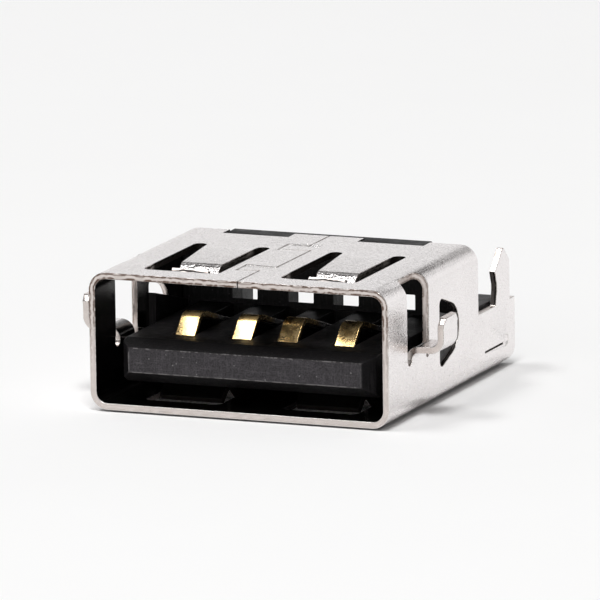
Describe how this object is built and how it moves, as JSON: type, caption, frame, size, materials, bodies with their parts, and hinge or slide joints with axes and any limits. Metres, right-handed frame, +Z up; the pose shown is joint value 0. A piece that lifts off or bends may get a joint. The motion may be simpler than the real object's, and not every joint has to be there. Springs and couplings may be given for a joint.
{
  "type": "usb socket",
  "caption": "Sunk board socket for a flat plug: folded metal shell with leaf springs and board legs around a black tongue with arched gold contacts.",
  "frame": {"origin": "middle of the box on the resting face", "axes": "+Z up, the way the board lies; the mouth faces -Y; +X to the right seen from the mouth"},
  "size_m": [0.016, 0.0142, 0.0057],
  "materials": {
    "shell": "satin nickel plating",
    "housing": "matte black moulding",
    "contacts": "gold plating"
  },
  "bodies": {
    "root": {"shell": "shell", "housing": "housing", "contact_1": "contacts", "contact_2": "contacts", "contact_3": "contacts", "contact_4": "contacts"}
  },
  "joints": []
}
